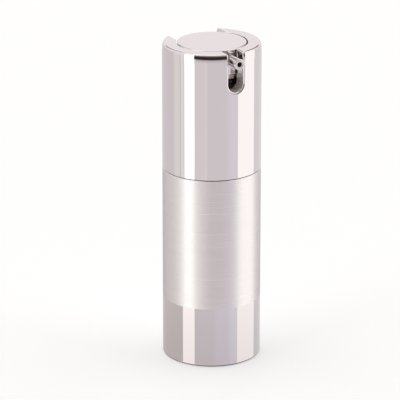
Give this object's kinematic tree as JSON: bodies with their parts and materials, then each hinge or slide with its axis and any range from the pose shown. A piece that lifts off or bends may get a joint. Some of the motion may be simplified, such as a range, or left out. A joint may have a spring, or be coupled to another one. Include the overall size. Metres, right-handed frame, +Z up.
{
  "type": "airless pump bottle",
  "caption": "Cylindrical airless pump bottle: flush press button in a tall mirror-plated collar, nozzle in a front slot, finger notch behind, brushed body sleeve and plated foot.",
  "frame": {"origin": "centre of the foot, on the plane that the bottle stands on", "axes": "+Z up along the bottle's axis, -Y towards the nozzle, +X to the right as seen from the nozzle's side"},
  "size_m": [0.0324, 0.0344, 0.1077],
  "materials": {
    "mirror_plating": "moulded plastic, vacuum-plated to a silver mirror with a faint rose tint",
    "brushed_aluminium": "thin aluminium tube, brushed round its circumference and clear anodised",
    "white_polypropylene": "white moulded polypropylene, satin",
    "natural_polyethylene": "uncoloured soft polyethylene, slightly waxy",
    "gasket_foam": "closed-cell sealing foam, matt",
    "spring_steel": "bright stainless steel"
  },
  "bodies": {
    "bottle": {"outer_shell": "mirror_plating", "base_plug": "white_polypropylene", "body_sleeve": "brushed_aluminium", "inner_bottle": "white_polypropylene"},
    "follower": {"follower_piston": "natural_polyethylene"},
    "pump": {"pump_housing": "white_polypropylene", "housing_cap": "white_polypropylene", "neck_gasket": "gasket_foam", "ball_cage": "white_polypropylene", "pump_spring": "spring_steel"},
    "inlet_ball": {"inlet_ball": "spring_steel"},
    "pump_piston": {"pump_piston": "natural_polyethylene"},
    "head": {"collar": "mirror_plating", "screw_ring": "white_polypropylene"},
    "actuator": {"actuator_button": "mirror_plating", "actuator_core": "white_polypropylene", "nozzle": "mirror_plating", "nozzle_bush": "mirror_plating", "pump_stem": "white_polypropylene", "piston_rod": "white_polypropylene"}
  },
  "joints": [
    {"name": "follower_rise", "type": "slide", "parent": "bottle", "child": "follower", "axis": [0, 0, 1], "range_m": [0, 0.0563]},
    {"name": "head_rise", "type": "slide", "parent": "bottle", "child": "pump", "axis": [0, 0, 1], "range_m": [0, 0.00451]},
    {"name": "collar_unscrew", "type": "hinge", "parent": "pump", "child": "head", "pos_m": [0, 0, 0.0894], "axis": [0, 0, 1], "range_deg": [0, 540]},
    {"name": "button_press", "type": "slide", "parent": "head", "child": "actuator", "axis": [0, 0, -1], "range_m": [0, 0.0055], "stiffness_N_per_m": 1400, "springref_m": -0.0035, "deforming": ["pump_spring"]},
    {"name": "piston_stroke", "type": "slide", "parent": "pump", "child": "pump_piston", "axis": [0, 0, -1], "range_m": [0, 0.0048]},
    {"name": "inlet_ball_lift", "type": "slide", "parent": "pump", "child": "inlet_ball", "axis": [0, 0, 1], "range_m": [0, 0.0008]}
  ],
  "couplings": [
    {"joint": "head_rise", "follows": "collar_unscrew", "m_per_rad": 0.00047746},
    {"joint": "piston_stroke", "follows": "button_press", "ratio": 0.86364}
  ]
}
